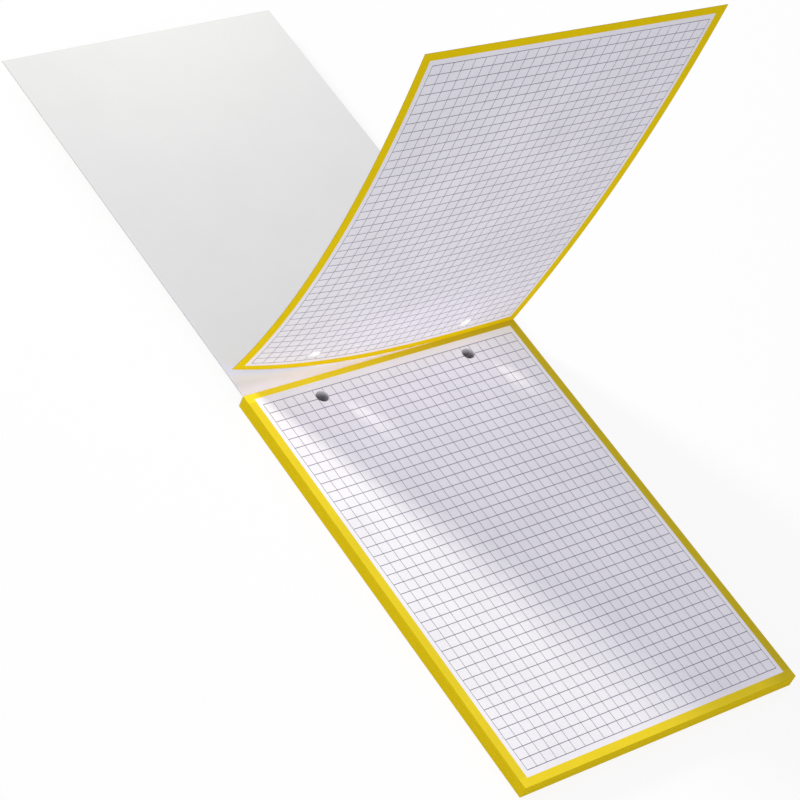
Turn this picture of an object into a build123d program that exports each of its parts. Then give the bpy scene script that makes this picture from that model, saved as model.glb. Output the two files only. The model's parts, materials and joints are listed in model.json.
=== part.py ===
"""Index card pad: punched cards glued at the head, the top card raised and the cover turned back."""
import math
import os

from build123d import *

# Cards, in the A5 size
card_width = 148.0
card_length = 210.0
card_thickness = 0.215
stacked_cards = 30

# Punched holes, for a file with two rings
hole_diameter = 6.0
hole_spacing = 80.0
hole_from_head = 11.0

# Cover sheet
cover_width = card_width
cover_length = card_length
cover_thickness = 0.3

# Film of padding glue on the head
glue_thickness = 0.4

# Raised card: how far it leans towards the foot, at its glued edge and at its free edge
lean_at_foot = math.radians(11.8)
lean_at_top = math.radians(1.8)
# How far the free edge is twisted out of line with the head
twist_at_top = math.radians(2.7)
# The card still holds at the head's right end, and its left corner rolls back from there
glued_stretch = 7.0
corner_setback = 12.9
roll_slant = math.radians(31.0)
# Gap under the glued edge, and how far the card's back stands in from the head there
foot_gap = 0.05
foot_inset = 0.1
# Points across and along the card through which its surface is drawn
points_across = 17
points_along = 21

# How far every cut runs past the faces that it opens
overrun = 2.0

# Worked-out sizes
block_thickness = stacked_cards * card_thickness
head_y = card_length / 2
hole_radius = hole_diameter / 2
hole_y = head_y - hole_from_head
hole_places = [-hole_spacing / 2, hole_spacing / 2]
cover_edge_y = head_y + glue_thickness

# A sheet that curls up as a cubic draws its end in by nine tenths of its rise squared over its reach
cubic_pull_share = 0.9


def drilled(solid, x, y, z_low, z_high):
    """Drills one upright hole through a flat piece, from below z_low to above z_high."""
    drill = Cylinder(
        hole_radius,
        z_high - z_low + 2 * overrun,
        align=(Align.CENTER, Align.CENTER, Align.MIN),
    )
    return solid - Pos(x, y, z_low - overrun) * drill


def make_card_block():
    """The stack that lies flat, drilled in one go."""
    block = Box(
        card_width,
        card_length,
        block_thickness,
        align=(Align.CENTER, Align.CENTER, Align.MIN),
    )
    for x in hole_places:
        block = drilled(block, x, hole_y, 0, block_thickness)
    return block


def make_head_glue():
    """The film over the cards' head faces."""
    film = Box(
        card_width,
        glue_thickness,
        block_thickness,
        align=(Align.CENTER, Align.MIN, Align.MIN),
    )
    return Pos(0, head_y, 0) * film


def make_cover():
    """The sheet turned over the head, level with the top of the stack."""
    sheet = Box(
        cover_width,
        cover_length,
        cover_thickness,
        align=(Align.CENTER, Align.MIN, Align.MAX),
    )
    cover = Pos(0, cover_edge_y, block_thickness) * sheet
    for x in hole_places:
        low = block_thickness - cover_thickness
        cover = drilled(cover, x, cover_edge_y + hole_from_head, low, block_thickness)
    return cover


def raised_point(across, along):
    """Place on the raised card's front, by the distance from its middle and from its glued edge."""
    # Distance past the slanted line where the loose corner starts to roll back
    corner_reach = (card_width - glued_stretch) * math.cos(roll_slant)
    roll_start = card_width / 2 - glued_stretch
    past = (roll_start - across) * math.cos(roll_slant) - along * math.sin(roll_slant)
    past_ratio = max(past, 0) / corner_reach
    setback = corner_setback * past_ratio**3
    pull = cubic_pull_share * corner_setback**2 / corner_reach * past_ratio**5
    across = across + pull * math.cos(roll_slant)
    along = along + pull * math.sin(roll_slant)
    # The lean follows an arc from the glued edge to the free edge
    turn_rate = (lean_at_top - lean_at_foot) / card_length
    lean = lean_at_foot + turn_rate * along
    back = (math.cos(lean) - math.cos(lean_at_foot)) / turn_rate + setback * math.cos(lean)
    height = (math.sin(lean) - math.sin(lean_at_foot)) / turn_rate + setback * math.sin(lean)
    # The twist grows with the height and turns about the right edge
    twist = twist_at_top * along / card_length
    from_right = across - card_width / 2
    return Vector(
        card_width / 2 + from_right * math.cos(twist),
        head_y - foot_inset - card_thickness + back - from_right * math.sin(twist),
        block_thickness + foot_gap + height,
    )


def raised_plane(across, along):
    """Plane that touches the raised card at one of its holes, from chords as long as the hole is wide."""
    step = hole_radius
    chord_across = raised_point(across + step, along) - raised_point(across - step, along)
    chord_along = raised_point(across, along + step) - raised_point(across, along - step)
    return Plane(
        origin=raised_point(across, along),
        x_dir=chord_across,
        z_dir=chord_across.cross(chord_along),
    )


def make_raised_card():
    """The top card, bent as a sheet bends and drilled square to its surface."""
    rows = []
    for i in range(points_along):
        along = card_length * i / (points_along - 1)
        row = []
        for j in range(points_across):
            across = card_width * (j / (points_across - 1) - 1 / 2)
            row.append(raised_point(across, along))
        rows.append(row)
    surface = Face.make_surface_from_array_of_points(rows, tol=card_thickness / points_along)
    card = thicken(surface, amount=card_thickness, normal_override=(0, 1, 0))
    for x in hole_places:
        drill = Cylinder(hole_radius, 2 * overrun)
        card = card - raised_plane(x, hole_from_head) * drill
    return card


nodes = {
    "card_block": make_card_block(),
    "head_glue": make_head_glue(),
    "raised_card": make_raised_card(),
    "cover": make_cover(),
}

os.makedirs("parts", exist_ok=True)
for name, shape in nodes.items():
    export_step(shape, f"parts/{name}.step")
    print(name, "volume", round(shape.volume, 2), "mm3")
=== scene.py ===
# %% [markdown]
# # An index card pad
# The pad is a stack of thirty squared cards, glued at the head and punched for a file with two rings.
# Its top card is lifted until it nearly stands, and its plain cover is turned right back over the head.
# The CAD model gives the four solids. Here each of them gets its looks: print, ruling, cut edges and glue.
# Everything is in metres, in the CAD model's own frame, so each piece is made where it belongs.

# %% Load the frame
import json
import math

import bmesh
import bpy
from mathutils import Matrix, Quaternion, Vector, noise


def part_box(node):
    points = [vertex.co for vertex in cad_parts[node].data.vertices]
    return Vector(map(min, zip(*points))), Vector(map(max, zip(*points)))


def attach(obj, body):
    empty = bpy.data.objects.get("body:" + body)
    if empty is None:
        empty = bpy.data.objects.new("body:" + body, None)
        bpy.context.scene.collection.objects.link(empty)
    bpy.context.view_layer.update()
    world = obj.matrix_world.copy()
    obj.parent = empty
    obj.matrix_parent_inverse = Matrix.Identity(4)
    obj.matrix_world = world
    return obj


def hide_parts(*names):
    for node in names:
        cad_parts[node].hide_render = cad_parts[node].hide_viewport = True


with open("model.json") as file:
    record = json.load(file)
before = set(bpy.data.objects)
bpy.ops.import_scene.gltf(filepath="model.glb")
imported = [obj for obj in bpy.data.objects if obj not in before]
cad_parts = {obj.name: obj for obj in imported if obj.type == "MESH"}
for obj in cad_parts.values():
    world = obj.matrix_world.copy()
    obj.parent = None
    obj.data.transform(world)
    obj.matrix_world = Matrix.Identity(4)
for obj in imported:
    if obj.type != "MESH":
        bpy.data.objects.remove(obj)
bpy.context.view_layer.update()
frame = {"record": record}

# %% [markdown]
# The sizes come from the frame wherever it has them: the block's box gives the card's width and length,
# and the two punched holes are mounts in the record. A size that is read can't drift from the CAD model.

# %% Measure the pad
MM = 0.001
block_low, block_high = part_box("card_block")
cover_low, cover_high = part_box("cover")
glue_low, glue_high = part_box("head_glue")
card_width, card_length, block_thickness = block_high - block_low
head_y = block_high.y

mounts = {mount["name"]: mount for mount in frame["record"]["mounts"]}
left_hole, right_hole = mounts["left_file_hole"], mounts["right_file_hole"]
hole_radius = left_hole["dims"]["r_mm"] * MM
hole_spacing = right_hole["pos_m"][0] - left_hole["pos_m"][0]
hole_from_head = head_y - left_hole["pos_m"][1]
print("card", round(card_width, 4), "x", round(card_length, 4), "block", round(block_thickness, 5),
      "holes", round(hole_spacing, 4), "apart", round(hole_from_head, 4), "from the head")

# %% [markdown]
# Nodes drive both the shapes and the finishes of this pad, so two small helpers come first. `add` makes a
# node and fills its sockets. A `Wire` is a node's output that can be used in a formula: each sign in the
# formula adds one Math node, so a rule can be read as a line of maths and not as a heap of links.

# %% Helpers for node trees
def add(tree, kind, sockets=None, **options):
    """Adds a node, sets its options, and fills its sockets with plain values or with links."""
    node = tree.nodes.new(kind)
    for option, value in options.items():
        setattr(node, option, value)
    for name, value in (sockets or {}).items():
        value = getattr(value, "socket", value)
        if isinstance(value, bpy.types.NodeSocket):
            tree.links.new(value, node.inputs[name])
        else:
            node.inputs[name].default_value = value
    return node


class Wire:
    """A node's output that can stand in a formula."""

    def __init__(self, tree, socket):
        self.tree, self.socket = tree, socket

    def step(self, operation, *others):
        values = dict(enumerate((self, *others)))
        return Wire(self.tree, add(self.tree, "ShaderNodeMath", values, operation=operation).outputs[0])

    def __add__(self, other):
        return self.step("ADD", other)

    def __sub__(self, other):
        return self.step("SUBTRACT", other)

    def __mul__(self, other):
        return self.step("MULTIPLY", other)

    def __truediv__(self, other):
        return self.step("DIVIDE", other)

    def __pow__(self, other):
        return self.step("POWER", other)


def vector(tree, x, y, z):
    """Three numbers or wires as one vector."""
    return add(tree, "ShaderNodeCombineXYZ", {"X": x, "Y": y, "Z": z}).outputs["Vector"]


def split(tree, socket):
    """A vector's three numbers as wires."""
    node = add(tree, "ShaderNodeSeparateXYZ", {"Vector": socket})
    return [Wire(tree, output) for output in node.outputs]


print("helpers ready")

# %% [markdown]
# ## Card stock
# An index card is uncoated board: matt, nearly white, with a fine felt of fibres that shows as a faint
# grain, and with soft clouds where the pulp lay thicker. Two noise textures give that, one finer than half
# a millimetre for the fibres and one of a few centimetres for the clouds. They read Object coordinates,
# so the grain has its real size on every piece. The fibres also lift the surface by some micrometres.
# All finishes start and end alike, so `new_finish` and `end_finish` hold what they share.

# %% Card stock
def new_finish(name):
    """Starts a finish and returns its material, its tree and the place on the piece."""
    material = bpy.data.materials.new(name)
    material.use_nodes = True
    tree = material.node_tree
    place = add(tree, "ShaderNodeTexCoord").outputs["Object"]
    return material, tree, place


def end_finish(tree, colours, roughness, height=None, lift=0.0, shine=None):
    """Leads colours, roughness and, where a height is given, a bump of that lift to the finish's shader."""
    sockets = tree.nodes["Principled BSDF"].inputs
    tree.links.new(colours, sockets["Base Color"])
    tree.links.new(roughness.socket, sockets["Roughness"])
    if height is not None:
        bump = add(tree, "ShaderNodeBump", {"Height": height, "Distance": lift})
        tree.links.new(bump.outputs["Normal"], sockets["Normal"])
    if shine is not None:
        sockets["Specular IOR Level"].default_value = shine


def pattern(tree, place, scale=1.0, detail=2.0, stretch=None):
    """A noise with so many grains to the metre, alike all ways or, with stretch, along each axis."""
    if stretch:
        place = add(tree, "ShaderNodeMapping", {"Vector": place, "Scale": stretch}).outputs["Vector"]
    node = add(tree, "ShaderNodeTexNoise", {"Vector": place, "Scale": scale, "Detail": detail})
    return Wire(tree, node.outputs["Fac"])


def wavering(wire, middle, swing=0.2):
    """A value that swings about its middle as the pattern goes from nought to one."""
    return wire * swing + (middle - swing / 2)


def shades(tree, wire, low, high, span=(0.25, 0.75)):
    """A colour that runs from one shade to another as the pattern rises over the span."""
    ramp = add(tree, "ShaderNodeValToRGB", {"Fac": wire})
    for element, position, colour in zip(ramp.color_ramp.elements, span, (low, high)):
        element.position = position
        element.color = (*colour, 1)
    return ramp.outputs["Color"]


def dimmed(tree, colours, brightness):
    """Colours made darker or brighter by a wire."""
    return add(tree, "ShaderNodeVectorMath", {0: colours, "Scale": brightness}, operation="SCALE").outputs[0]


# Grains to the metre in the two noises of board, and the share of the tone that each gives
fibre_scale, cloud_scale = 2400, 38
fibre_share, cloud_share = 0.55, 0.45


def fibre_finish(name, low, high, roughness, fibre_lift, shine, brightness=None):
    """Board or print on board: a fine fibre grain under soft clouds of two near shades."""
    material, tree, place = new_finish(name)
    fibres = pattern(tree, place, fibre_scale, detail=3)
    clouds = pattern(tree, place, cloud_scale)
    colours = shades(tree, fibres * fibre_share + clouds * cloud_share, low, high)
    if brightness:
        colours = dimmed(tree, colours, brightness(split(tree, place)))
    end_finish(tree, colours, wavering(fibres, roughness), fibres, fibre_lift, shine)
    return material


card_stock = fibre_finish(
    "card_stock", low=(0.85, 0.845, 0.86), high=(0.985, 0.98, 0.995),
    roughness=0.78, fibre_lift=0.02 * MM, shine=0.15)
print("finish", card_stock.name)

# %% [markdown]
# ## Yellow print and cut edges
# A yellow frame is printed round each card and bleeds off its edges. Ink sinks into uncoated board, so the
# print keeps the fibre grain and the matt look. On the stack's top card the print also carries painted light
# and shade: painted shade down the right side, light to dark along the head, and painted light at the foot,
# with a bluish tinge that is a painted sheen of the key light. A ramp image could hold that, but a few rules
# over the card's own coordinates stay sharp at any size. The cut edges are yellow too, because the ink runs
# over them, and the stock beneath shows through only as fine streaks along the cut. Their yellow is darker
# than the print's, which is painted shade on the cards' sides.

# %% Yellow print and cut edges
def rising(wire, start, end):
    """Nought up to the start, one from the end on, and evenly rising between them."""
    return ((wire - start) / (end - start)).step("MAXIMUM", 0).step("MINIMUM", 1)


# Where the painted shade and light on the stack's print lie, and by what share they darken or lighten it
right_start, right_end, right_loss = 55 * MM, 69 * MM, 0.24
head_start, head_end = -40 * MM, 35 * MM
head_gain, head_loss = 0.16, 0.42
foot_gain = 0.07
end_band = 4.5 * MM


def painted_light_on_print(place):
    """The print's painted light and shade: dark down the right, light to dark along the head, light at the
    foot.
    """
    x, y, _ = place
    right = rising(x, right_start, right_end) * -right_loss
    head = rising(x, head_start, head_end) * -head_loss + head_gain
    at_head = y.step("GREATER_THAN", head_y - end_band)
    at_foot = y.step("LESS_THAN", block_low.y + end_band)
    return right * (at_head * -1 + 1) + head * at_head + at_foot * foot_gain + 1


raised_print = fibre_finish(
    "raised_print", low=(0.815, 0.605, 0.002), high=(0.945, 0.70, 0.004),
    roughness=0.8, fibre_lift=0.016 * MM, shine=0.03)
# The stack's print is bluer than the raised card's, a painted sheen of the key light, and it takes the
# painted light and shade above
stack_print_painted_light = fibre_finish(
    "stack_print_painted_light", low=(0.775, 0.605, 0.018), high=(0.895, 0.695, 0.03),
    roughness=0.8, fibre_lift=0.016 * MM, shine=0.06, brightness=painted_light_on_print)


def cut_edge_finish():
    """Yellow edges, darker than the print as painted shade on the upright sides, with streaks that run along
    the cut, finest across the card's thickness.
    """
    material, tree, place = new_finish("cut_edge")
    streaks = pattern(tree, place, detail=3, stretch=(160, 160, 9000))
    specks = pattern(tree, place, scale=1500)
    streak_share, speck_share = 0.7, 0.3
    tone = streaks * streak_share + specks * speck_share
    # The edges' yellow is darker than the print's: painted shade of the cards' upright sides
    colours = shades(tree, tone, low=(0.50, 0.38, 0.002), high=(0.63, 0.48, 0.004))
    end_finish(tree, colours, wavering(specks, middle=0.8), tone, lift=0.03 * MM, shine=0.04)
    return material


cut_edge = cut_edge_finish()
print("finishes", raised_print.name, stack_print_painted_light.name, cut_edge.name)

# %% [markdown]
# ## Ruling ink and punched walls
# The squares are ruled in a thin violet-grey ink, a little uneven where the board drank more of it. The
# walls of the punched holes are sheared board: rough, and ringed by the cards' layers. Their grey is painted
# shade of the deep, narrow hole, and the rim is lighter as painted light, so a wall is light at its rim and
# grey from two millimetres down.

# %% Ruling ink and punched walls
def ruling_ink_finish():
    """Thin ink whose strength wavers along the line."""
    material, tree, place = new_finish("ruling_ink")
    strength = pattern(tree, place, scale=700, detail=3)
    colours = shades(tree, strength, low=(0.07, 0.056, 0.12), high=(0.12, 0.10, 0.18))
    end_finish(tree, colours, wavering(strength, middle=0.7), shine=0.2)
    return material


# How far below the pad's face a hole's wall starts to lose its painted light rim, and where it has lost it
rim_start, rim_end = 0.3 * MM, 2.1 * MM
# The wall's brightness, as a share of its shades, and what the rim's painted light adds to it
wall_brightness, painted_rim_light = 0.97, 0.93


def punched_wall_finish():
    """Sheared board, with rings a card apart, grey as painted shade, and a painted light rim at the top."""
    material, tree, place = new_finish("punched_wall")
    rings = pattern(tree, place, detail=3, stretch=(250, 250, 7000))
    z = split(tree, place)[2]
    rim = rising(z, block_thickness - rim_end, block_thickness - rim_start)
    # These grey shades are painted shade of the deep hole
    colours = shades(tree, rings, low=(0.28, 0.28, 0.295), high=(0.49, 0.485, 0.49))
    colours = dimmed(tree, colours, rim * painted_rim_light + wall_brightness)
    end_finish(tree, colours, wavering(rings, middle=0.85), rings, lift=0.05 * MM)
    return material


ruling_ink = ruling_ink_finish()
punched_wall = punched_wall_finish()
print("finishes", ruling_ink.name, punched_wall.name)

# %% [markdown]
# ## Cover board and glue
# The cover is smoother than the cards: a calendered white board, so its fibres lie flatter and it has a
# slight sheen. Its cut edge shows the greyer core, which draws a thin line along the cover. The padding
# glue dries to a milky, rubbery skin with brush marks along the head.

# %% Cover board and glue
cover_board = fibre_finish(
    "cover_board", low=(0.761, 0.767, 0.754), high=(0.801, 0.807, 0.794),
    roughness=0.75, fibre_lift=0.008 * MM, shine=0.1)
cover_core = fibre_finish(
    "cover_core", low=(0.33, 0.335, 0.332), high=(0.40, 0.405, 0.402),
    roughness=0.8, fibre_lift=0.012 * MM, shine=0.1)


def padding_glue_finish():
    """A milky skin with brush marks along the head, some of them glossier."""
    material, tree, place = new_finish("padding_glue")
    marks = pattern(tree, place, detail=4, stretch=(90, 1500, 1500))
    colours = shades(tree, marks, low=(0.80, 0.79, 0.74), high=(0.88, 0.87, 0.83))
    end_finish(tree, colours, wavering(marks, middle=0.43, swing=0.3), marks, lift=0.06 * MM)
    return material


padding_glue = padding_glue_finish()
print("finishes", cover_board.name, cover_core.name, padding_glue.name)

# %% [markdown]
# ## A punched sheet
# Every sheet of the pad is the same thing: a thin plate with two holes near its glued edge. One group of
# Geometry Nodes makes that shape, with its sizes as inputs, so the stack, the raised card and the cover all
# share it. The plate starts as a grid of cells whose outermost ring is drawn to the widths of the yellow
# frame, which gives the print a clean edge to follow. Print is seldom quite centred on a cut card, so each
# side has its own width. Two drills are cut away from the plate, and each face then gets a mark by where it
# lies: paper, frame, cut edge or hole wall. The mark stays with the face while the sheet is copied or bent,
# and the tree that uses the group ends by giving each mark its finish.

# %% Start and end of a tree
LENGTH, COUNT, FINISH = "NodeSocketFloat", "NodeSocketInt", "NodeSocketMaterial"
finish_mark = "finish"
# How far a mark may be from the number of its finish
mark_slack = 0.5


def new_tree(name, inputs):
    """Starts a Geometry Nodes tree and returns it with its inputs as wires."""
    tree = bpy.data.node_groups.new(name, "GeometryNodeTree")
    tree.interface.new_socket("Geometry", in_out="OUTPUT", socket_type="NodeSocketGeometry")
    for label, kind in inputs.items():
        tree.interface.new_socket(label, in_out="INPUT", socket_type=kind)
    source = tree.nodes.new("NodeGroupInput")
    return tree, {socket.name: Wire(tree, socket) for socket in source.outputs if socket.name}


def end_shape(tree, geometry):
    """Hands out a bare shape, for other trees to use."""
    add(tree, "NodeGroupOutput", {"Geometry": geometry})
    return tree


def end_tree(tree, geometry, finishes):
    """Realizes what is still an instance, then gives every face the finish that its mark counts to."""
    geometry = add(tree, "GeometryNodeRealizeInstances", {"Geometry": geometry}).outputs["Geometry"]
    marks = add(tree, "GeometryNodeInputNamedAttribute", {"Name": finish_mark}, data_type="INT")
    for number, finish in enumerate(finishes):
        where = Wire(tree, marks.outputs["Attribute"]).step("COMPARE", number, mark_slack)
        sockets = {"Geometry": geometry, "Selection": where, "Material": finish}
        geometry = add(tree, "GeometryNodeSetMaterial", sockets).outputs["Geometry"]
    return end_shape(tree, geometry)


def flat_shape(tree, size, shape, shape_inputs):
    """The shape of a group inside another tree, with the tree's inputs of the same names."""
    same = {label: size[label] for label in shape_inputs}
    return add(tree, "GeometryNodeGroup", same, node_tree=shape).outputs["Geometry"]


def make_sheet_tree(name, shape, shape_inputs, finish_inputs, bend=None, bend_inputs=None):
    """A tree that takes a flat shape from a group, bends it where a rule is given, and finishes it."""
    tree, size = new_tree(name, {**shape_inputs, **(bend_inputs or {}), **finish_inputs})
    geometry = flat_shape(tree, size, shape, shape_inputs)
    if bend:
        geometry = bend(tree, size, geometry)
    return end_tree(tree, geometry, [size[label] for label in finish_inputs])


print("faces are marked by", finish_mark)

# %% Drills
hole_inputs = {"Hole radius": LENGTH, "Hole spacing": LENGTH, "Hole from head": LENGTH}
drill_sides = 48
drill_depth = 4 * MM


def punched(tree, size, sheet):
    """Cuts the two holes out of a sheet that lies along +Y from its glued edge at y = 0."""
    sides = {"Vertices": drill_sides, "Radius": size["Hole radius"], "Depth": drill_depth}
    drill = add(tree, "GeometryNodeMeshCylinder", sides).outputs["Mesh"]
    start = vector(tree, size["Hole spacing"] * -0.5, size["Hole from head"], 0.0)
    apart = vector(tree, size["Hole spacing"], 0.0, 0.0)
    line = {"Count": 2, "Start Location": start, "Offset": apart}
    spots = add(tree, "GeometryNodeMeshLine", line).outputs["Mesh"]
    drills = add(tree, "GeometryNodeInstanceOnPoints", {"Points": spots, "Instance": drill}).outputs[0]
    cut = {"Mesh 1": sheet, "Mesh 2": drills}
    return add(tree, "GeometryNodeMeshBoolean", cut, operation="DIFFERENCE", solver="EXACT").outputs["Mesh"]


print("drill with", drill_sides, "sides")

# %% Punched plate
plate_inputs = {
    "Width": LENGTH, "Length": LENGTH, "Thickness": LENGTH, "Cells across": COUNT, "Cells along": COUNT,
    "Frame at low x": LENGTH, "Frame at high x": LENGTH, "Frame at head": LENGTH, "Frame at foot": LENGTH,
    **hole_inputs,
}
# In the order of their marks
sheet_finishes = {"Paper": FINISH, "Frame print": FINISH, "Cut edge": FINISH, "Punched wall": FINISH}
# Share of the half width within which a grid line is not the edge itself
inside_share = 0.999
# How much a normal may rise on a face that counts as upright, and how near a drill a hole's wall lies
upright_limit, wall_reach = 0.5, 1.1


def ring_place(place, half, first_frame, last_frame, cells):
    """Moves a plate's grid lines, all but its edges, so that the first and last of them bound the frame."""
    middle = (first_frame - last_frame) / 2
    inner = half - (first_frame + last_frame) / 2
    squeeze = inner / (half - half * 2 / cells)
    inside = place.step("ABSOLUTE").step("LESS_THAN", half * inside_share)
    return place + (place * (squeeze - 1) + middle) * inside, middle, inner


def make_punched_plate():
    """A sheet on z from 0 up, its glued edge at y = 0 and its middle at x = 0."""
    tree, size = new_tree("punched_plate", plate_inputs)
    half_width, half_length = size["Width"] / 2, size["Length"] / 2
    plate = add(tree, "GeometryNodeMeshCube", {
        "Size": vector(tree, size["Width"], size["Length"], size["Thickness"]),
        "Vertices X": size["Cells across"] + 1, "Vertices Y": size["Cells along"] + 1, "Vertices Z": 2,
    }).outputs["Mesh"]
    x, y, z = split(tree, add(tree, "GeometryNodeInputPosition").outputs["Position"])
    ring_x, middle_x, inner_x = ring_place(
        x, half_width, size["Frame at low x"], size["Frame at high x"], size["Cells across"])
    ring_y, middle_y, inner_y = ring_place(
        y, half_length, size["Frame at head"], size["Frame at foot"], size["Cells along"])
    lying = vector(tree, ring_x, ring_y + half_length, z + size["Thickness"] / 2)
    plate = add(tree, "GeometryNodeSetPosition", {"Geometry": plate, "Position": lying}).outputs["Geometry"]
    sheet = punched(tree, size, plate)

    beside = (x - middle_x).step("ABSOLUTE").step("GREATER_THAN", inner_x)
    beyond = (y - half_length - middle_y).step("ABSOLUTE").step("GREATER_THAN", inner_y)
    in_frame = beside.step("MAXIMUM", beyond)
    normal = split(tree, add(tree, "GeometryNodeInputNormal").outputs["Normal"])
    upright = normal[2].step("ABSOLUTE").step("LESS_THAN", upright_limit)
    off_x = x.step("ABSOLUTE") - size["Hole spacing"] / 2
    off_y = y - size["Hole from head"]
    off_drill = (off_x * off_x + off_y * off_y).step("SQRT")
    near_drill = off_drill.step("LESS_THAN", size["Hole radius"] * wall_reach)
    mark = in_frame * (upright * -1 + 1) + upright * (near_drill + 2)
    sockets = {"Geometry": sheet, "Name": finish_mark, "Value": mark}
    sheet = add(tree, "GeometryNodeStoreNamedAttribute", sockets, data_type="INT", domain="FACE")
    return end_shape(tree, sheet.outputs["Geometry"])


punched_plate = make_punched_plate()
print("group", punched_plate.name, "with", len(punched_plate.nodes), "nodes")

# %% [markdown]
# A tree only describes a shape. To use it, an empty mesh gets the tree as a modifier, the inputs are set by
# their sockets' identifiers, and the evaluated result is kept as a plain mesh without the modifier.
# Flat faces then stay flat and bent ones turn smooth, because only edges sharper than 30 degrees are kept.

# %% Grow a piece from a tree
sharp_angle = math.radians(30)


def grow(name, tree, values, place):
    """Runs a tree with these input values and keeps the result as a plain mesh, moved to its place."""
    piece = bpy.data.objects.new(name, bpy.data.meshes.new(name))
    bpy.context.scene.collection.objects.link(piece)
    modifier = piece.modifiers.new(tree.name, "NODES")
    modifier.node_group = tree
    for item in tree.interface.items_tree:
        if item.in_out == "INPUT":
            modifier[item.identifier] = values[item.name]
    graph = bpy.context.evaluated_depsgraph_get()
    mesh = bpy.data.meshes.new_from_object(piece.evaluated_get(graph), depsgraph=graph)
    piece.modifiers.clear()
    piece.data = mesh
    mesh.name = name
    mesh.transform(place)
    # The finishes are set, so the marks go, and so do the empty slots that bare plates and drills left
    if finish_mark in mesh.attributes:
        mesh.attributes.remove(mesh.attributes[finish_mark])
    for index in reversed(range(len(mesh.materials))):
        if mesh.materials[index] is None:
            mesh.materials.pop(index=index)
    mesh.shade_smooth()
    mesh.set_sharp_from_angle(angle=sharp_angle)
    count = sum(len(polygon.vertices) - 2 for polygon in mesh.polygons)
    print(name, "has", count, "triangles and", [slot.name for slot in mesh.materials])
    return piece


hole_values = {"Hole radius": hole_radius, "Hole spacing": hole_spacing, "Hole from head": hole_from_head}
card_finishes = {
    "Paper": card_stock, "Frame print": raised_print, "Cut edge": cut_edge, "Punched wall": punched_wall,
}


def frame_values(low_x, high_x, head, foot):
    """The printed frame's widths on a sheet's four sides, given in millimetres."""
    widths = {"low x": low_x, "high x": high_x, "head": head, "foot": foot}
    return {f"Frame at {side}": width * MM for side, width in widths.items()}


# A flat sheet needs only the cells between the frame and the paper
flat_cells = {"Cells across": 3, "Cells along": 3}
# The trees lay sheets from y = 0 along +Y, and half a turn brings the glued edge to the pad's head
half_turn = Matrix.Rotation(math.pi, 4, "Z")

# %% [markdown]
# ## The stack
# Thirty cards lie on each other. One solid block with painted lines would do from far off, but real cards
# never lie quite true, so the tree sets thirty thin cards on a line of points and gives each a small shift
# and turn from a fixed seed. A hair of air between them makes the sides read as layers. The cards are
# made a little narrower than the block, so that none sticks out of it.

# %% Card stack
stacked_cards = 30
ink_height = 0.012 * MM
card_air = 0.015 * MM
card_shift = 0.03 * MM
# The glue holds the heads, so along the cards there is only this share of the shift
along_shift_share = 0.2
card_turn = 0.0002
stack_seed = 7
card_inset = card_shift + card_turn * card_length
card_pitch = (block_thickness - 2 * ink_height + card_air) / stacked_cards


def make_stack_tree():
    """Cards on a line of points, each shifted and turned by chance."""
    extra = {"Cards": COUNT, "Pitch": LENGTH, "Shift": LENGTH, "Turn": LENGTH, "Seed": COUNT}
    tree, size = new_tree("card_stack", {**plate_inputs, **extra, **sheet_finishes})
    card = flat_shape(tree, size, punched_plate, plate_inputs)
    line = {"Count": size["Cards"], "Offset": vector(tree, 0.0, 0.0, size["Pitch"])}
    points = add(tree, "GeometryNodeMeshLine", line).outputs["Mesh"]
    shift = add(tree, "FunctionNodeRandomValue", {
        0: vector(tree, size["Shift"] * -1, size["Shift"] * -along_shift_share, 0.0),
        1: vector(tree, size["Shift"], size["Shift"] * along_shift_share, 0.0),
        "Seed": size["Seed"],
    }, data_type="FLOAT_VECTOR").outputs["Value"]
    turn = add(tree, "FunctionNodeRandomValue", {
        0: vector(tree, 0.0, 0.0, size["Turn"] * -1), 1: vector(tree, 0.0, 0.0, size["Turn"]),
        "Seed": size["Seed"] + 1,
    }, data_type="FLOAT_VECTOR").outputs["Value"]
    points = add(tree, "GeometryNodeSetPosition", {"Geometry": points, "Offset": shift}).outputs["Geometry"]
    stack = add(tree, "GeometryNodeInstanceOnPoints", {"Points": points, "Instance": card, "Rotation": turn})
    return end_tree(tree, stack.outputs["Instances"], [size[label] for label in sheet_finishes])


card_stack = grow("card_stack", make_stack_tree(), {
    "Width": card_width - 2 * card_inset, "Length": card_length - 2 * card_inset,
    "Thickness": card_pitch - card_air, **flat_cells,
    **frame_values(low_x=4.0, high_x=3.8, head=3.0, foot=3.8), **hole_values,
    **card_finishes, "Frame print": stack_print_painted_light,
    "Cards": stacked_cards, "Pitch": card_pitch, "Shift": card_shift, "Turn": card_turn, "Seed": stack_seed,
}, Matrix.Translation((0, head_y - card_shift, ink_height)) @ half_turn)

# %% [markdown]
# ## The ruling
# Squares of five millimetres are ruled on both sides of a card, 27 across it and 39 along. They are drawn a
# hair larger, so that on a card of the full A5 size they leave the margins that the photograph shows. A line
# is about a quarter of a millimetre wide, thinner than a texture can hold once the model leaves Blender, so
# each line is a very thin ribbon of ink on the card. Ribbons repeat at one spacing, which is a job for
# instances on a line of points. The drills cut the ribbons too, as the punch did. On a card that bends, a
# ribbon needs many segments to bend with it.

# %% Ruled lines
ruling_inputs = {
    "Length": LENGTH, "Square": LENGTH, "Columns": COUNT, "Rows": COUNT,
    "Width of lines across": LENGTH, "Width of lines along": LENGTH, "Ink height": LENGTH,
    "Segments across": COUNT, "Segments along": COUNT, "Front depth": LENGTH, "Back depth": LENGTH,
    **hole_inputs,
}
ruling_finishes = {"Ink": FINISH}
# Lines along the card are a little lower, so that no two faces share a plane where they cross
low_share = 0.8


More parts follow.
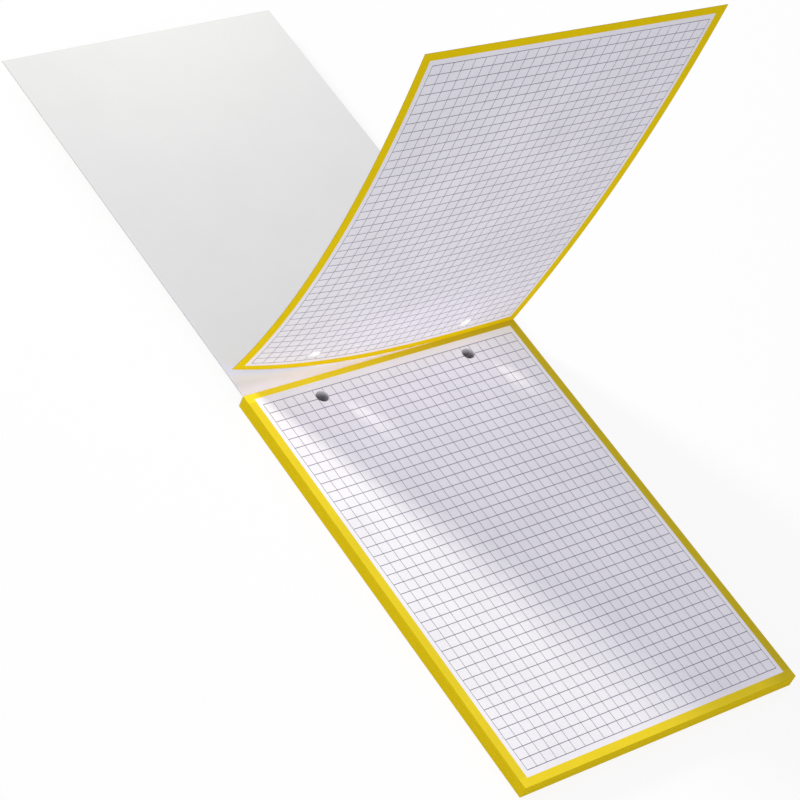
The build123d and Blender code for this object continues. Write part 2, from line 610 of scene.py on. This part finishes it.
def ribbons(tree, count, start, offset, size, segments_x, segments_y):
    """So many equal ribbons of ink, the first at start and each next one an offset further."""
    line = {"Count": count, "Start Location": start, "Offset": offset}
    points = add(tree, "GeometryNodeMeshLine", line).outputs["Mesh"]
    cells = {"Size": size, "Vertices X": segments_x + 1, "Vertices Y": segments_y + 1, "Vertices Z": 2}
    ribbon = add(tree, "GeometryNodeMeshCube", cells).outputs["Mesh"]
    placed = add(tree, "GeometryNodeInstanceOnPoints", {"Points": points, "Instance": ribbon}).outputs[0]
    return add(tree, "GeometryNodeRealizeInstances", {"Geometry": placed}).outputs["Geometry"]


def moved(tree, geometry, depth, turn):
    """Geometry turned about its length and set to a depth."""
    sockets = {"Geometry": geometry, "Translation": vector(tree, 0.0, 0.0, depth), "Rotation": (0, turn, 0)}
    return add(tree, "GeometryNodeTransform", sockets).outputs["Geometry"]


def make_ruled_lines():
    """Ruled ink on both faces of a sheet that lies as a punched plate does."""
    tree, size = new_tree("ruled_lines", ruling_inputs)
    ruled_width = size["Square"] * size["Columns"]
    ruled_length = size["Square"] * size["Rows"]
    thick, wide, narrow = size["Ink height"], size["Width of lines across"], size["Width of lines along"]
    first_across = vector(tree, 0.0, (size["Length"] - ruled_length) / 2, thick / 2)
    across = ribbons(
        tree, size["Rows"] + 1, first_across, vector(tree, 0.0, size["Square"], 0.0),
        vector(tree, ruled_width + narrow, wide, thick), size["Segments across"], 1)
    lower = thick * low_share
    first_along = vector(tree, ruled_width * -0.5, size["Length"] / 2, lower / 2)
    along = ribbons(
        tree, size["Columns"] + 1, first_along, vector(tree, size["Square"], 0.0, 0.0),
        vector(tree, narrow, ruled_length, lower), 1, size["Segments along"])
    lines = add(tree, "GeometryNodeJoinGeometry")
    for ribbon_set in (punched(tree, size, across), punched(tree, size, along)):
        tree.links.new(ribbon_set, lines.inputs["Geometry"])
    faces = add(tree, "GeometryNodeJoinGeometry")
    for depth, turn in ((size["Front depth"], math.pi), (size["Back depth"], 0.0)):
        tree.links.new(moved(tree, lines.outputs["Geometry"], depth, turn), faces.inputs["Geometry"])
    return end_shape(tree, faces.outputs["Geometry"])


ruled_lines = make_ruled_lines()
print("group", ruled_lines.name, "with", len(ruled_lines.nodes), "nodes")

# %% Ruling of the stack
square = 5.035 * MM
columns, rows = 27, 39
ruling_values = {
    "Length": card_length, "Square": square, "Columns": columns, "Rows": rows,
    "Width of lines across": 0.28 * MM, "Width of lines along": 0.185 * MM, "Ink height": ink_height,
    **hole_values, "Ink": ruling_ink,
}
flat_ruling = make_sheet_tree("flat_ruling", ruled_lines, ruling_inputs, ruling_finishes)
stack_ruling = grow("stack_ruling", flat_ruling, {
    **ruling_values, "Segments across": 1, "Segments along": 1,
    "Front depth": ink_height, "Back depth": block_thickness - ink_height,
}, Matrix.Translation((0, head_y, 0)) @ half_turn)

# %% [markdown]
# ## The raised card
# The top card stands on its glued edge and leans a little towards the foot, less so higher up, as a card
# does that has been folded up and springs back. It holds only at the right end of the head: its lower left
# corner has come loose and rolls back over the cover. Cloth simulation could bend it, but board bends by a
# simple rule: it keeps its lengths and only turns. So a tree moves every point by that rule. The lean goes
# round an arc, the corner goes back by the cube of its distance past a slanted line, and the twist grows
# with the height. The numbers are those of the CAD solid, so both have the same shape.

# %% Raising rule
raise_inputs = {
    "Width": LENGTH, "Length": LENGTH, "Lean at foot": LENGTH, "Lean at top": LENGTH, "Twist": LENGTH,
    "Glued stretch": LENGTH, "Corner setback": LENGTH, "Roll slant": LENGTH,
}
# A sheet that curls up as a cubic draws its end in by nine tenths of its rise squared over its reach
cubic_pull_share = 0.9


def raised(tree, size, geometry):
    """Bends a flat sheet: x runs across it, y along it from the glued edge, z from its front to its back."""
    across, along, depth = split(tree, add(tree, "GeometryNodeInputPosition").outputs["Position"])
    slant_cos, slant_sin = size["Roll slant"].step("COSINE"), size["Roll slant"].step("SINE")
    reach = (size["Width"] - size["Glued stretch"]) * slant_cos
    roll_start = size["Width"] / 2 - size["Glued stretch"]
    past = ((roll_start - across) * slant_cos - along * slant_sin).step("MAXIMUM", 0) / reach
    setback = size["Corner setback"] * past**3 + depth
    pull = size["Corner setback"] ** 2 / reach * past**5 * cubic_pull_share
    across, along = across + pull * slant_cos, along + pull * slant_sin

    foot = size["Lean at foot"]
    turn_rate = (size["Lean at top"] - foot) / size["Length"]
    lean = along * turn_rate + foot
    lean_cos, lean_sin = lean.step("COSINE"), lean.step("SINE")
    back = (lean_cos - foot.step("COSINE")) / turn_rate + setback * lean_cos
    height = (lean_sin - foot.step("SINE")) / turn_rate + setback * lean_sin
    twist = size["Twist"] * along / size["Length"]
    from_right = across - size["Width"] / 2
    x = from_right * twist.step("COSINE") + size["Width"] / 2
    y = back - from_right * twist.step("SINE")
    sockets = {"Geometry": geometry, "Position": vector(tree, x, y, height)}
    return add(tree, "GeometryNodeSetPosition", sockets).outputs["Geometry"]


raise_values = {
    "Lean at foot": math.radians(11.8), "Lean at top": math.radians(1.8), "Twist": math.radians(2.7),
    "Glued stretch": 7 * MM, "Corner setback": 12.9 * MM, "Roll slant": math.radians(31),
}
print("raising rule ready")

# %% Raised sheet and its ruling
card_thickness = 0.215 * MM
foot_gap = 0.05 * MM
foot_inset = 0.1 * MM
# Cells of the card and segments of each line, fine enough to bend
bent_cells = {"Cells across": 70, "Cells along": 100}
segments_per_square = 2

to_foot = Matrix.Translation((0, head_y - foot_inset - card_thickness, block_thickness + foot_gap))
raised_tree = make_sheet_tree(
    "raised_sheet", punched_plate, plate_inputs, sheet_finishes, raised, raise_inputs)
raised_sheet = grow("raised_sheet", raised_tree, {
    "Width": card_width, "Length": card_length, "Thickness": card_thickness, **bent_cells,
    **frame_values(low_x=3.8, high_x=4.25, head=4.2, foot=3.95),
    **hole_values, **card_finishes, **raise_values,
}, to_foot)
bent_ruling = make_sheet_tree(
    "raised_ruling", ruled_lines, ruling_inputs, ruling_finishes, raised, raise_inputs)
raised_ruling = grow("raised_ruling", bent_ruling, {
    **ruling_values, "Segments across": columns * segments_per_square,
    "Segments along": rows * segments_per_square, "Front depth": 0.0,
    "Back depth": card_thickness, "Width": card_width, **raise_values,
}, to_foot)

# %% [markdown]
# ## The cover
# The cover is one more punched sheet, of the same size and a little thicker, with no frame and no ruling.
# It lies straight out from the head, level with the pad's face, so it needs no bending: the plate's group
# gives its shape. Cover board goes on its faces, where the frame would be too, and the core on its edges.

# %% Cover sheet
flat_sheet = make_sheet_tree("flat_sheet", punched_plate, plate_inputs, sheet_finishes)
cover_sheet = grow("cover_sheet", flat_sheet, {
    "Width": cover_high.x - cover_low.x, "Length": cover_high.y - cover_low.y,
    "Thickness": cover_high.z - cover_low.z, **flat_cells,
    **frame_values(low_x=4, high_x=4, head=4, foot=4), **hole_values,
    "Paper": cover_board, "Frame print": cover_board, "Cut edge": cover_core, "Punched wall": punched_wall,
}, Matrix.Translation((0, cover_low.y, cover_low.z)))

# %% [markdown]
# ## The head glue
# Padding glue is brushed over the clamped cards' heads and dries to a skin under half a millimetre thick.
# It lies flat against the cards and is wavy outside, where the brush left more or less of it, so a grid of
# points is pushed in by a seeded noise. Only the outer face moves, and the skin stays closed all round.

# %% Head glue
glue_columns, glue_rows = 180, 12
glue_thinning = 0.12 * MM
# Waves to the metre along and up the head, and a place in the noise
waves_along, waves_up, wave_place = 60, 700, 3.7


def make_head_glue():
    """The skin of glue, thinner where the brush took more of it away."""
    mesh = bmesh.new()
    span = glue_high - glue_low
    sheets = []
    for outer in (False, True):
        sheet = []
        for row in range(glue_rows + 1):
            for column in range(glue_columns + 1):
                x = glue_low.x + span.x * column / glue_columns
                z = glue_low.z + span.z * row / glue_rows
                wave = (noise.noise(Vector((x * waves_along, wave_place, z * waves_up))) + 1) / 2
                y = glue_high.y - glue_thinning * wave if outer else glue_low.y
                sheet.append(mesh.verts.new((x, y, z)))
        sheets.append(sheet)
    inner, outer = sheets
    step = glue_columns + 1
    for row in range(glue_rows):
        for column in range(glue_columns):
            corner = row * step + column
            quad = (corner, corner + 1, corner + step + 1, corner + step)
            mesh.faces.new([inner[i] for i in quad])
            mesh.faces.new([outer[i] for i in reversed(quad)])
    # Round the edge: along the bottom, up one end, back along the top and down the other end
    top = glue_rows * step
    rim = [*range(step), *range(2 * step - 1, top + step, step)]
    rim += [*range(top + step - 2, top - 1, -1), *range(top - step, 0, -step)]
    for a, b in zip(rim, rim[1:] + rim[:1]):
        mesh.faces.new((inner[a], inner[b], outer[b], outer[a]))
    bmesh.ops.recalc_face_normals(mesh, faces=mesh.faces)
    skin = bpy.data.meshes.new("glue_skin")
    mesh.to_mesh(skin)
    mesh.free()
    skin.materials.append(padding_glue)
    skin.shade_smooth()
    skin.set_sharp_from_angle(angle=sharp_angle)
    piece = bpy.data.objects.new("glue_skin", skin)
    bpy.context.scene.collection.objects.link(piece)
    print("glue_skin has", len(skin.polygons), "faces")
    return piece


glue_skin = make_head_glue()

# %% [markdown]
# ## Pieces and bodies
# The pad has no joint, so every piece rides on the one body. Each sheet and the glue stand for a CAD solid,
# which is hidden but stays for collision. The two rulings only lie on their cards.

# %% Pieces on their body
for piece, node, slot in (
    (card_stack, "card_block", "cards"), (raised_sheet, "raised_card", "raised_card"),
    (cover_sheet, "cover", "cover"), (glue_skin, "head_glue", "glue"),
    (stack_ruling, None, "cards"), (raised_ruling, None, "raised_card"),
):
    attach(piece, "root")
    if node:
        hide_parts(node)
    print(piece.name, "stands for", node or "ink on a card")

# %% [markdown]
# ## Floor and surrounding light
# The pad lies on a white ground under even light. The floor shows nearly white to the camera but keeps part
# of its shading, so a faint shadow stays. To all other rays it is a plain pale floor, so that it doesn't
# light the pad more than a real one would. The world does the same: white to look at, a little cooler and
# weaker as light, which gives shaded paper its lavender tinge.

# %% Floor and world
WHITE = (1, 1, 1, 1)
# Half the floor's width, and how far it lies under the pad
floor_reach, floor_drop = 8, 0.02 * MM
floor_tone = (0.8, 0.8, 0.8, 1)
# Share of the floor's shading that the camera sees
shading_kept = 0.15
sky_tone, sky_strength = (0.91, 0.897, 1, 1), 0.668


def seen_directly(tree):
    """One for rays that show the ground itself: from the camera, in a gloss or through something clear."""
    path = add(tree, "ShaderNodeLightPath")
    rays = [Wire(tree, path.outputs[f"Is {kind} Ray"]) for kind in ("Camera", "Glossy", "Transmission")]
    return (rays[0] + rays[1] + rays[2]).step("MINIMUM", 1)


def mixed(tree, share, first, second):
    """Two shaders mixed, the second by the given share."""
    return add(tree, "ShaderNodeMixShader", {0: share, 1: first, 2: second}).outputs[0]


def make_floor():
    """A wide plane just under the pad."""
    mesh = bmesh.new()
    bmesh.ops.create_grid(mesh, x_segments=1, y_segments=1, size=floor_reach)
    bmesh.ops.translate(mesh, verts=mesh.verts, vec=(0, 0, -floor_drop))
    plane = bpy.data.meshes.new("floor")
    mesh.to_mesh(plane)
    mesh.free()
    material = bpy.data.materials.new("pale_floor")
    material.use_nodes = True
    tree = material.node_tree
    tree.nodes.clear()
    plain = add(tree, "ShaderNodeBsdfDiffuse", {"Color": floor_tone}).outputs[0]
    shaded = add(tree, "ShaderNodeBsdfDiffuse", {"Color": WHITE}).outputs[0]
    white = add(tree, "ShaderNodeEmission", {"Color": WHITE, "Strength": 1.0}).outputs[0]
    shown = mixed(tree, shading_kept, white, shaded)
    add(tree, "ShaderNodeOutputMaterial", {"Surface": mixed(tree, seen_directly(tree), plain, shown)})
    plane.materials.append(material)
    floor = bpy.data.objects.new("floor", plane)
    bpy.context.scene.collection.objects.link(floor)
    return floor


def make_world():
    """White to look at, cooler and weaker as light."""
    world = bpy.data.worlds.new("studio")
    world.use_nodes = True
    tree = world.node_tree
    tree.nodes.clear()
    light = add(tree, "ShaderNodeBackground", {"Color": sky_tone, "Strength": sky_strength}).outputs[0]
    white = add(tree, "ShaderNodeBackground", {"Color": WHITE, "Strength": 1.0}).outputs[0]
    add(tree, "ShaderNodeOutputWorld", {"Surface": mixed(tree, seen_directly(tree), light, white)})
    bpy.context.scene.world = world
    return world


print("stage", make_floor().name, make_world().name)

# %% [markdown]
# ## Lamps
# A lamp is placed by what it lights: a target, a direction from there to the lamp, and a distance. All lamps
# here are soft, and none is in the picture. Light linking lets a lamp light some pieces only, or all pieces
# but some, while every piece still throws its shadow. A studio does the same with flags and barn doors.

# %% Helpers for lamps
def make_lamp(name, kind, target, towards, distance, **settings):
    """A lamp at a distance from its target, turned to shine on it."""
    light = bpy.data.lights.new(name, kind)
    for setting, value in settings.items():
        setattr(light, setting, value)
    away = Vector(towards).normalized()
    lamp = bpy.data.objects.new(name, light)
    lamp.location = Vector(target) + away * distance
    lamp.rotation_euler = away.to_track_quat("Z", "Y").to_euler()
    lamp.visible_camera = False
    bpy.context.scene.collection.objects.link(lamp)
    print(name, "lamp at", [round(v, 3) for v in lamp.location])
    return lamp


def beam_angle(radius, distance):
    """The full angle of a beam that has this radius at its target."""
    return 2 * math.atan(radius / distance)


def link_light(lamp, pieces, state):
    """Lets a lamp light only these pieces, or all but these."""
    receivers = bpy.data.collections.new(f"{lamp.name}_receivers")
    for piece in pieces:
        receivers.objects.link(piece)
    for entry in receivers.collection_objects:
        entry.light_linking.link_state = state
    lamp.light_linking.receiver_collection = receivers


print("lamp helpers ready")

# %% [markdown]
# ## Key light
# One lamp stands low behind the pad's left, so the raised card throws its shadow down the pad and leaves a
# lit wedge at the left, and the card's holes throw two spots of light. The lamp is a disk about a fifth of
# its distance wide, which makes the shadow's edge soft, and softer the further it falls from the card. It
# shines almost straight on the raised card's back and would bleach it, and it would lay the card's shadow
# on the cover, where the photograph has none. So it is kept off the raised card, the cover and the glue.

# %% Key light
key = make_lamp(
    "key", "AREA", target=(-0.06, head_y, 0.03), towards=(-0.385, 0.87, 0.33), distance=2.6,
    shape="DISK", size=0.56, energy=66.0, color=(1.0, 0.99, 0.87))
link_light(key, [raised_sheet, raised_ruling, cover_sheet, glue_skin], "EXCLUDE")

# %% [markdown]
# ## Fill and corner light
# The corner between the raised card and the pad would be the darkest place, because each hides the sky from
# the other. In the photograph it is the lightest part of the shade. A wide soft spot from the front lifts
# the whole shade a little, and a narrow strip, as long as the head, puts most light into the corner, from
# where it fades out along the pad and, faster, up the card. The bit of cover that shows beside the head gets
# the same strip in blue, because the frames on both sides of it send back yellow light. A finer, warm strip
# lights the seam where the cover meets the head, which glows in the photograph.

# %% Fill and corner light
pad_and_card = [card_stack, stack_ruling, raised_sheet, raised_ruling]
cover_and_glue = [cover_sheet, glue_skin]
fill_distance = 1.2
fill = make_lamp(
    "fill", "SPOT", target=(0.02, head_y, block_thickness), towards=(-0.4, -0.8, 0.45),
    distance=fill_distance, energy=18.5, color=(1.0, 0.95, 0.98), shadow_soft_size=0.15,
    spot_size=beam_angle(0.17, fill_distance), spot_blend=1.0)
link_light(fill, cover_and_glue, "EXCLUDE")

# The strips hang in front of the head and shine along it
strip_towards, strip_distance = (0.0, -0.883, 0.47), 0.5


def make_strip(name, target, size, size_y, beam_radius, **settings):
    """A strip lamp as long as its size, with a beam of this radius at its target."""
    return make_lamp(
        name, "AREA", target, strip_towards, strip_distance, shape="RECTANGLE", size=size, size_y=size_y,
        spread=beam_angle(beam_radius, strip_distance), **settings)


corner_strip = {
    "target": (-0.016, head_y, block_thickness), "size": 0.15, "size_y": 0.02, "beam_radius": 0.05,
}
corner = make_strip("corner", **corner_strip, energy=0.0038, color=(0.98, 0.87, 1.0))
link_light(corner, pad_and_card, "INCLUDE")
hinge = make_strip("hinge", **corner_strip, energy=0.0071, color=(0.2, 0.15, 1.0))
link_light(hinge, cover_and_glue, "INCLUDE")
seam = make_strip(
    "seam", target=(-0.03, head_y + 1 * MM, block_thickness), size=0.12, size_y=0.002, beam_radius=0.003,
    energy=0.0005, color=(1.0, 0.7, 0.5))
link_light(seam, cover_and_glue, "INCLUDE")

# %% [markdown]
# ## Front light and light behind the holes
# The pad's foot faces away from the key, so a low lamp in front brightens its yellow edges. Through the
# raised card's two holes the photograph shows bright white, which is the cover behind the card. A lamp on
# the whole cover would bleach it, so two small spots from above light it just where the camera looks
# through each hole.

# %% Front light and light behind the holes
front = make_lamp(
    "front", "AREA", target=(0, block_low.y, block_thickness / 2), towards=(0.1, -1, 0.03), distance=1.2,
    shape="DISK", size=0.3, energy=6, color=(1.0, 1.0, 0.97))
link_light(front, [card_stack], "INCLUDE")

# Where on the cover the camera looks through each hole: across the pad, and behind the cover's near edge
seen_spots = {"left": (-0.0295, 0.0118), "right": (0.0501, 0.0055)}
spot_distance = 0.6
for side_name, (seen_x, seen_behind) in seen_spots.items():
    hole_light = make_lamp(
        f"hole_{side_name}", "SPOT", target=(seen_x, cover_low.y + seen_behind, cover_high.z),
        towards=(0.1, 0.3, 0.95), distance=spot_distance, energy=8.2, color=(1.0, 0.98, 0.99),
        shadow_soft_size=0.004, spot_size=beam_angle(0.0075, spot_distance), spot_blend=0.7)
    link_light(hole_light, [cover_sheet], "INCLUDE")

# %% [markdown]
# ## Cover light
# The cover gets no key light, so it has two lamps of its own. A wide one from the left evens it out, and a
# small one hangs over its far end, where the photograph grows lighter.

# %% Cover light
side = make_lamp(
    "side", "AREA", target=(0, 0.21, cover_high.z), towards=(-0.8, -0.25, 0.55), distance=1.1,
    shape="DISK", size=0.5, energy=3.85, color=(1.0, 1.0, 0.92))
link_light(side, cover_and_glue, "INCLUDE")
far = make_lamp(
    "far", "AREA", target=(0, cover_high.y + 0.02, cover_high.z), towards=(0.1, 0.3, 0.95), distance=0.25,
    shape="DISK", size=0.12, energy=0.275, color=(1.0, 1.0, 0.86))
link_light(far, cover_and_glue, "INCLUDE")

# %% [markdown]
# ## Camera
# The squared ruling makes a good target for finding the photograph's camera: it gave a long lens, a place
# to the left of the pad's foot, looking down by 43 degrees, and a roll of 25 degrees. A camera looks along
# its own -Z, so it is turned to track its target and then rolled about that line.

# %% Camera
camera_eye = Vector((-0.69647, -0.44625, 0.82938))
camera_target = Vector((-0.00738, 0.08078, 0.00672))
camera_roll = math.radians(25.2664)
sensor_width, focal_length = 36, 126.22

lens = bpy.data.cameras.new("camera")
lens.sensor_width = sensor_width
lens.lens = focal_length
camera = bpy.data.objects.new("camera", lens)
camera.location = camera_eye
aim = (camera_target - camera_eye).to_track_quat("-Z", "Y") @ Quaternion((0, 0, 1), camera_roll)
camera.rotation_euler = aim.to_euler()
bpy.context.scene.collection.objects.link(camera)
bpy.context.scene.camera = camera
bpy.context.scene.view_settings.view_transform = "Standard"
print("camera", round((camera_target - camera_eye).length, 3), "m from its target")
